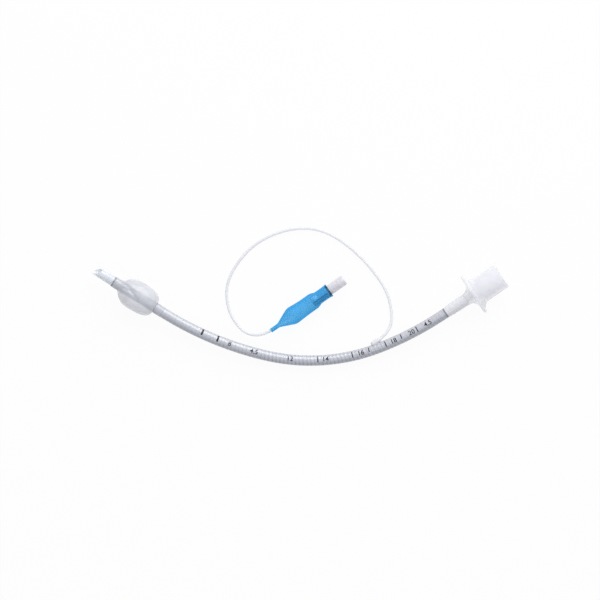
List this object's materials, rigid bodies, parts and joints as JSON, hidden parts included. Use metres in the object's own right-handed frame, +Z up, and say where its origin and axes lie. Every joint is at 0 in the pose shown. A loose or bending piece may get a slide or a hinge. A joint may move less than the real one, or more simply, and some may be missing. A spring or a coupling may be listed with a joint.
{
  "type": "endotracheal tube",
  "caption": "Cuffed wire-reinforced endotracheal tube: bevelled soft tip, inflated cuff, winged 15 mm cone connector, inflation line, pilot balloon and check valve.",
  "frame": {"origin": "centre of the tube and connector's bounding box, on the surface that they lie on", "axes": "+Z up from that surface, +X along the tube from its tip to its connector, +Y towards the inside of the bow"},
  "size_m": [0.2368, 0.0793, 0.0172],
  "materials": {
    "tip_polymer": "soft clear polymer",
    "shaft_polymer": "translucent polymer with depth marks",
    "coil_steel": "bright drawn stainless wire",
    "cuff_film": "thin translucent film",
    "connector_plastic": "moulded translucent white plastic",
    "line_polymer": "clear extruded tube",
    "adhesive": "cured clear bead",
    "balloon_film": "translucent blue blown film",
    "clear_plastic": "clear moulded plastic",
    "white_plastic": "moulded",
    "seal_rubber": "moulded elastomer",
    "retainer_plastic": "moulded",
    "spring_steel": "bright spring wire"
  },
  "bodies": {
    "tube": {"soft_tip": "tip_polymer", "reinforced_shaft": "shaft_polymer", "wire_coil": "coil_steel", "cuff": "cuff_film", "tube_connector": "connector_plastic", "inflation_line": "line_polymer", "line_seal": "adhesive", "pilot_balloon": "balloon_film", "valve_housing": "clear_plastic", "valve_retainer": "retainer_plastic", "valve_spring": "spring_steel"},
    "plunger": {"valve_plunger": "white_plastic", "valve_seal": "seal_rubber"}
  },
  "joints": [
    {"name": "valve_press", "type": "slide", "parent": "tube", "child": "plunger", "axis": [-0.8192, -0.5736, 0], "range_m": [0, 0.0012], "stiffness_N_per_m": 300, "springref_m": -0.001, "deforming": ["valve_spring"]}
  ]
}
